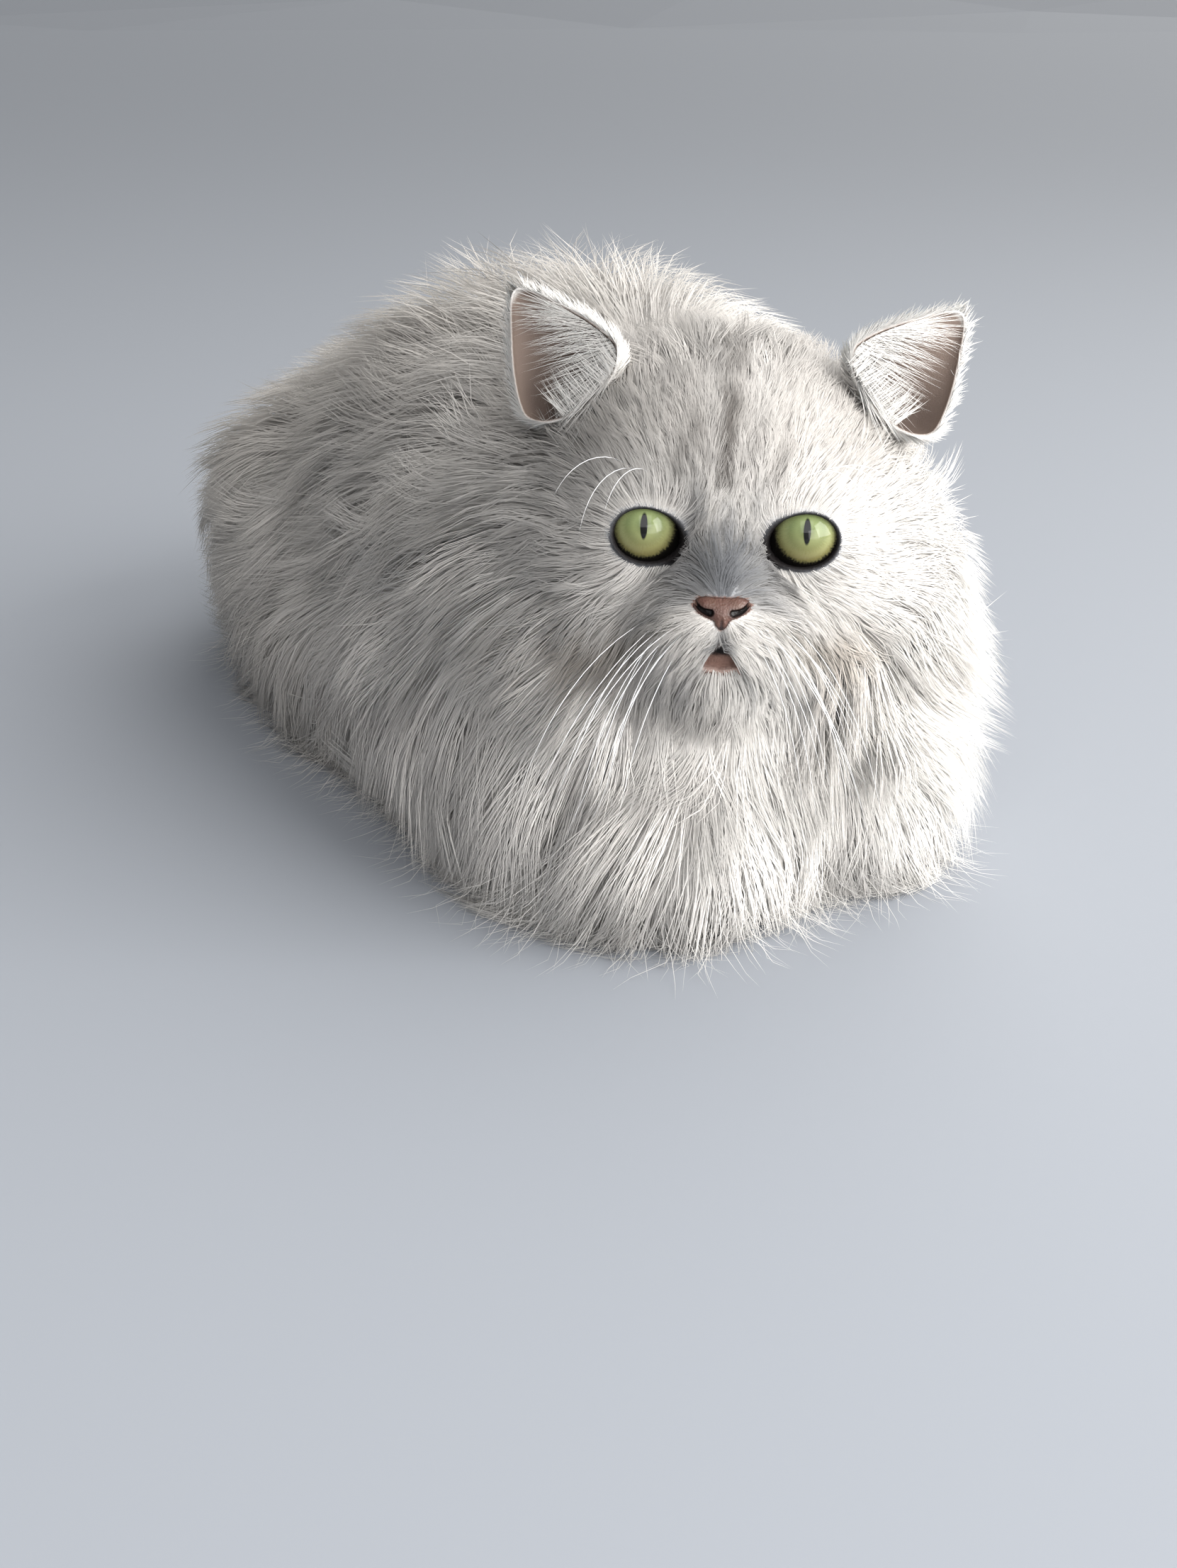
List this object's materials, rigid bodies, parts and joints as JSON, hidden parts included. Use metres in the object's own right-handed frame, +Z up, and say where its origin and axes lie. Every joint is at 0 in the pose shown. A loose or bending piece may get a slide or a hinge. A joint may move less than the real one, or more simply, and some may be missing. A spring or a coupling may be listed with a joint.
{
  "type": "persian cat",
  "caption": "Long-haired cat lying in a loaf, paws tucked under, head turned to its right; a still life-size model that rests on its belly.",
  "frame": {"origin": "on the floor under the middle of the body, on the flat of the belly", "axes": "+Z up; the body lies along Y with its chest towards -Y; +X to the cat's own left"},
  "size_m": [0.265, 0.4454, 0.182],
  "materials": {
    "coat": "long silky silver-shaded fur, white to pale grey with darker grey tips",
    "ear_skin": "thin pinkish grey skin with short pale fur on its back",
    "nose_leather": "brick-pink moist skin, fine grain",
    "eye": "yellow-green iris with a narrow black pupil under a clear wet cornea"
  },
  "bodies": {
    "root": {"torso": "coat", "neck": "coat", "head": "coat", "ear_left": "ear_skin", "ear_right": "ear_skin", "eye_left": "eye", "eye_right": "eye", "nose": "nose_leather", "foreleg_left": "coat", "foreleg_right": "coat", "hind_leg_left": "coat", "hind_leg_right": "coat", "tail_base": "coat", "tail_tip": "coat"}
  },
  "joints": []
}
